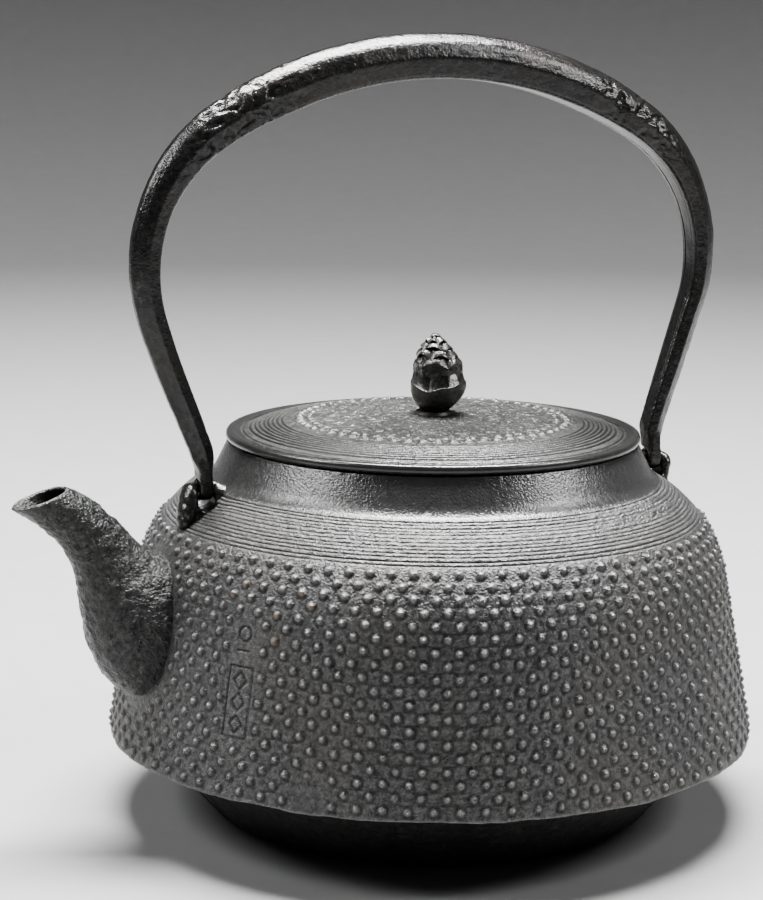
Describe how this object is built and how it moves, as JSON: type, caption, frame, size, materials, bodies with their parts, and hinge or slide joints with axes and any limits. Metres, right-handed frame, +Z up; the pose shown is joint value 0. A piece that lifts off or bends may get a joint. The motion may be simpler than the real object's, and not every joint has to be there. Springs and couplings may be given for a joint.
{
  "type": "cast iron kettle",
  "caption": "Round-shouldered cast iron kettle with raised dots, a short spout, a lift-off lid with a pine cone knob and a tall swinging bail handle.",
  "frame": {"origin": "centre of the flat base, on the surface the kettle stands on", "axes": "+Z up, -X towards the spout, the bail handle stands in the XZ plane"},
  "size_m": [0.212, 0.182, 0.2168],
  "materials": {
    "cast_iron_body": "dark lacquered cast iron, semi-gloss, with raised dots and comb lines",
    "cast_iron_bottom": "rough cast iron, matt",
    "cast_iron_spout": "rough cast skin, semi-gloss",
    "cast_iron_lug": "smooth cast iron, semi-gloss",
    "forged_iron_handle": "forged iron, semi-gloss, faceted and pitted",
    "cast_iron_lid": "turned and combed cast iron, semi-gloss",
    "knob_iron": "cast knob metal, polished on its high points"
  },
  "bodies": {
    "kettle": {"kettle_body": "cast_iron_body", "kettle_bottom": "cast_iron_bottom", "spout": "cast_iron_spout", "lug_rear": "cast_iron_lug", "lug_spout_side": "cast_iron_lug"},
    "handle": {"handle_shell": "forged_iron_handle", "handle_inner_plate": "forged_iron_handle", "handle_hook_rear": "forged_iron_handle", "handle_hook_spout_side": "forged_iron_handle"},
    "lid": {"lid_disc": "cast_iron_lid", "lid_locating_ring": "cast_iron_lid", "knob_seat_washer": "knob_iron"},
    "knob": {"knob_pinecone": "knob_iron", "knob_shank": "knob_iron", "knob_under_washer": "knob_iron"}
  },
  "joints": [
    {"name": "handle_swing", "type": "hinge", "parent": "kettle", "child": "handle", "pos_m": [0, 0, 0.0948], "axis": [1, 0, 0], "range_deg": [-85, 85]},
    {"name": "lid_lift", "type": "slide", "parent": "kettle", "child": "lid", "axis": [0, 0, 1], "range_m": [0, 0.06]},
    {"name": "knob_turn", "type": "hinge", "parent": "lid", "child": "knob", "pos_m": [0, 0, 0.112], "axis": [0, 0, 1], "continuous": true}
  ]
}
